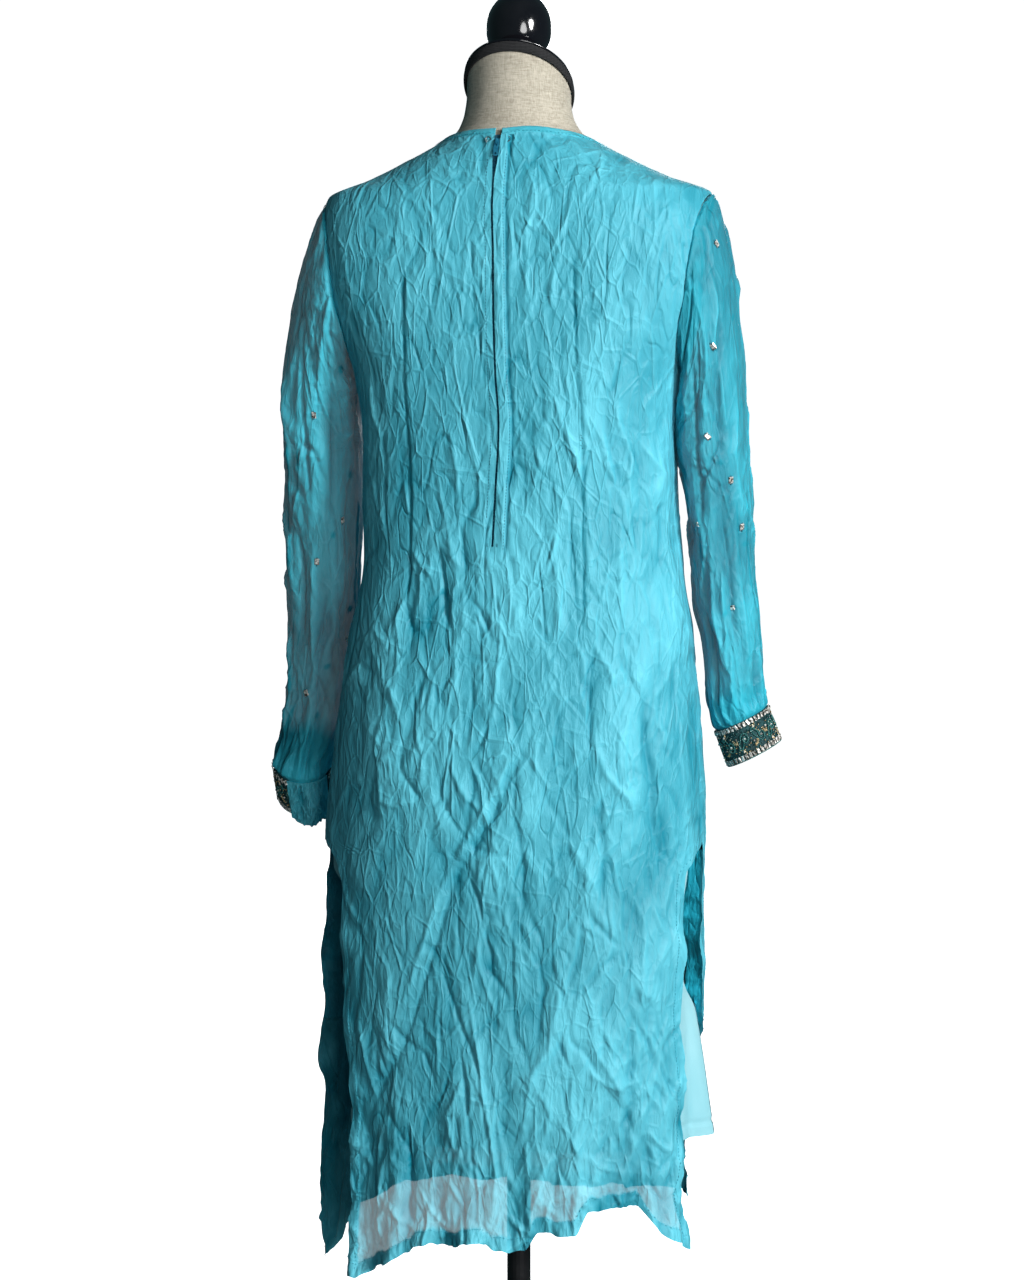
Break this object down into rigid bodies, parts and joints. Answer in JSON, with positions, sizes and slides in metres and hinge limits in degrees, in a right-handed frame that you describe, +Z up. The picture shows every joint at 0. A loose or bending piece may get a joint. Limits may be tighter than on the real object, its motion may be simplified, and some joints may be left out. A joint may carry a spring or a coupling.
{
  "type": "kurti on dress form",
  "caption": "Long sleeved knee length tunic with a round neck, back zip, side slits and beaded cuffs, worn on a limbless dress form on a round stand.",
  "frame": {"origin": "centre of the base's flat underside, on the floor", "axes": "+Z up the pole to the finial; the wearer faces -Y, the zip is on the +Y side and the wearer's left is +X"},
  "size_m": [0.5482, 0.38, 1.571],
  "materials": {
    "linen": "plain woven cream linen cover",
    "braid": "black woven braid",
    "gloss_black": "smooth gloss black",
    "stand": "satin black paint",
    "chiffon": "crinkled sheer silk chiffon, soft sheen",
    "lining": "plain opaque lining",
    "beadwork": "dark net covered in scrolls of beads with rows of flat silver sequins",
    "zip_tape": "woven blue zip tape",
    "zip_metal": "blue enamel",
    "wire": "bent silver wire"
  },
  "bodies": {
    "dressed_form": {"form_torso": "linen", "neck_trim": "braid", "neck_cap": "gloss_black", "finial": "gloss_black", "pole": "stand", "base": "stand", "back": "chiffon", "front": "chiffon", "neck_binding": "chiffon", "sleeve_left": "chiffon", "sleeve_right": "chiffon", "cuff_left": "beadwork", "cuff_right": "beadwork", "cuff_turning_left": "chiffon", "cuff_turning_right": "chiffon", "slit_facing_left": "chiffon", "slit_facing_right": "chiffon", "lining_back": "lining", "lining_front": "lining", "zip_tape": "zip_tape", "zip_slider": "zip_metal", "neck_hook": "wire", "neck_eye": "wire"},
    "pull_tab": {"zip_pull": "zip_metal"}
  },
  "joints": [
    {"name": "pull_tab_swing", "type": "hinge", "parent": "dressed_form", "child": "pull_tab", "pos_m": [0.0065, 0.07827, 1.41001], "axis": [1, 0, 0], "range_deg": [0, 150]}
  ]
}
